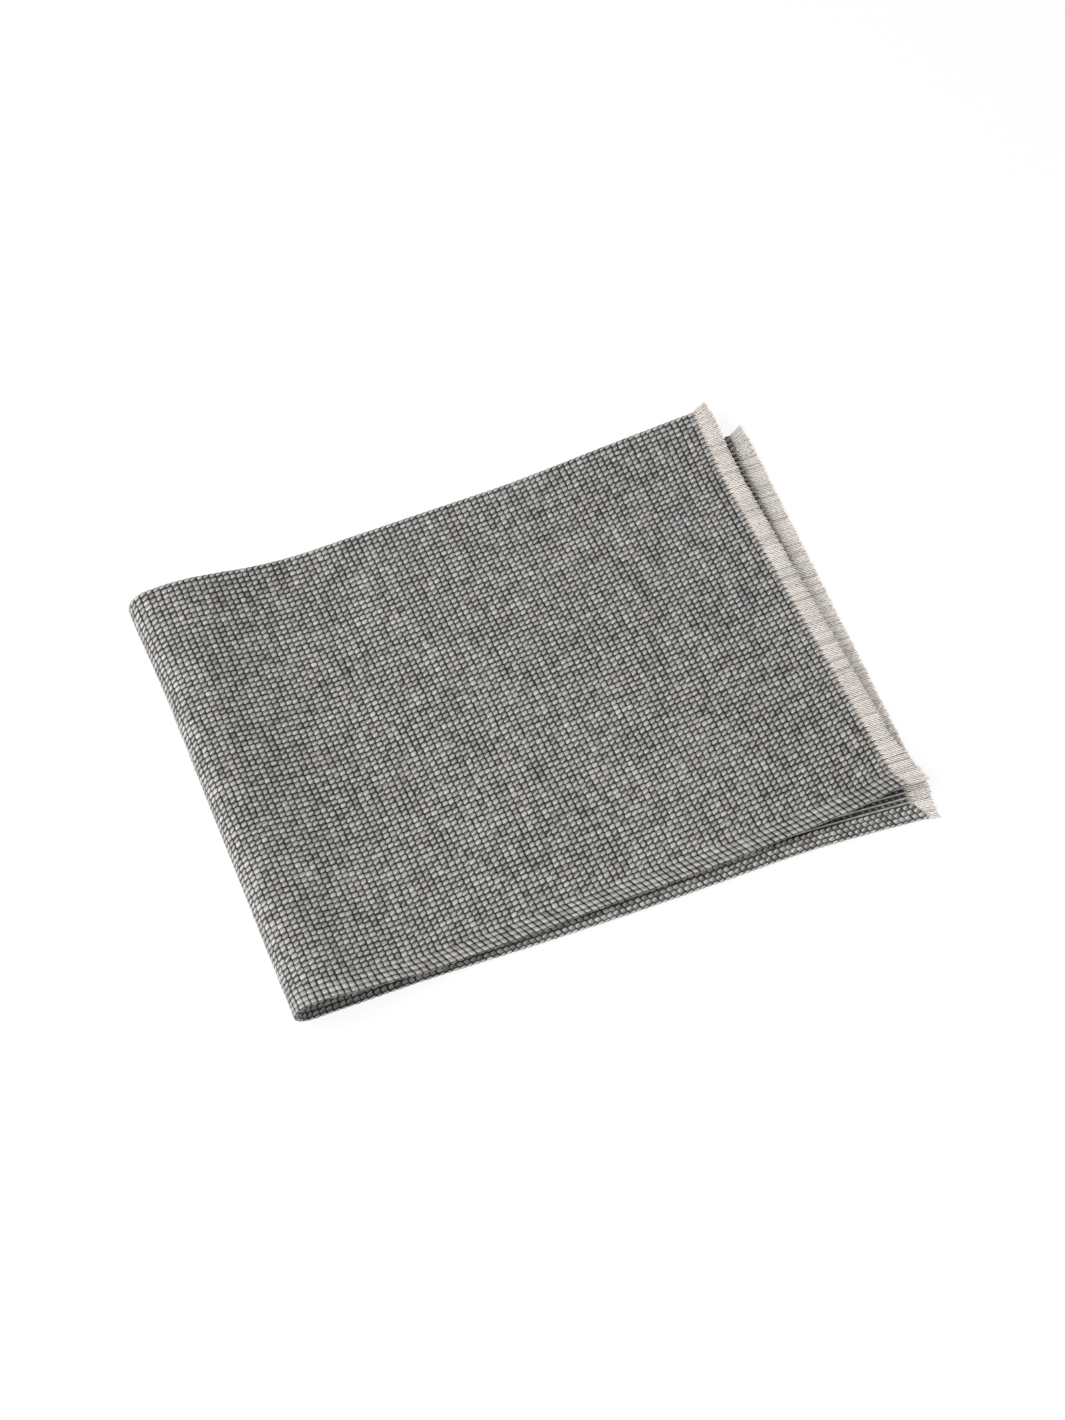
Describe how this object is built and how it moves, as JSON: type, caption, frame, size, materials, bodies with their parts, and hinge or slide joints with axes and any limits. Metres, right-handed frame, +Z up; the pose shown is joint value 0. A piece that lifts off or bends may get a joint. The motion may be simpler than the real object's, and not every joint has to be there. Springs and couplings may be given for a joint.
{
  "type": "waffle towel",
  "caption": "Woven hand towel with a pebbled waffle face, folded once across its length, with turned hems on its long edges and a short fringe at both ends.",
  "frame": {"origin": "on the surface that the towel lies on, under the middle of its bounding box", "axes": "+Z up, +X from the round of the fold to the fringed ends, +Y to the far long edge"},
  "size_m": [0.415, 0.3258, 0.0275],
  "materials": {
    "woven_cloth": "matt pebbled weave of light greige and dark grey yarn",
    "fringe_thread": "soft matt thread ends"
  },
  "bodies": {
    "root": {"cloth": "woven_cloth", "fringe_upper": "fringe_thread", "fringe_lower": "fringe_thread"}
  },
  "joints": []
}
